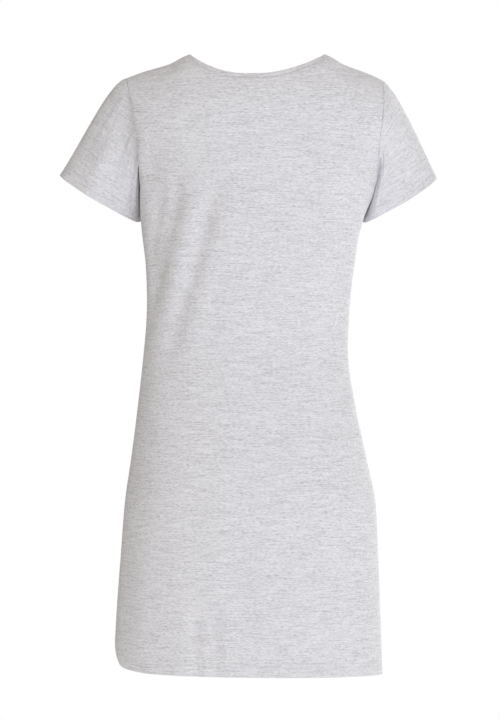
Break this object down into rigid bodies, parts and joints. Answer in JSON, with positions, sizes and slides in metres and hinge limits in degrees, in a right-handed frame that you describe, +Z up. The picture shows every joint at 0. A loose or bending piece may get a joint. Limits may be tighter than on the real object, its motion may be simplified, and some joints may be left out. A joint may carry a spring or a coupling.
{
  "type": "t-shirt dress",
  "caption": "Short-sleeved, waisted T-shirt dress in grey melange jersey with a narrow neckband, filled out and hollow as if worn.",
  "frame": {"origin": "on the line of the shoulder seams, midway between the two high shoulder points beside the neck, where the wearer's shoulders hold the dress up", "axes": "+Z up, -Y the way the front of the dress faces, +X the wearer's left"},
  "size_m": [0.5355, 0.2269, 0.8786],
  "materials": {
    "jersey": "matte grey melange single jersey with short flecks along the courses"
  },
  "bodies": {
    "root": {"back": "jersey", "front": "jersey", "sleeve_left": "jersey", "sleeve_right": "jersey", "neckband": "jersey"}
  },
  "joints": []
}
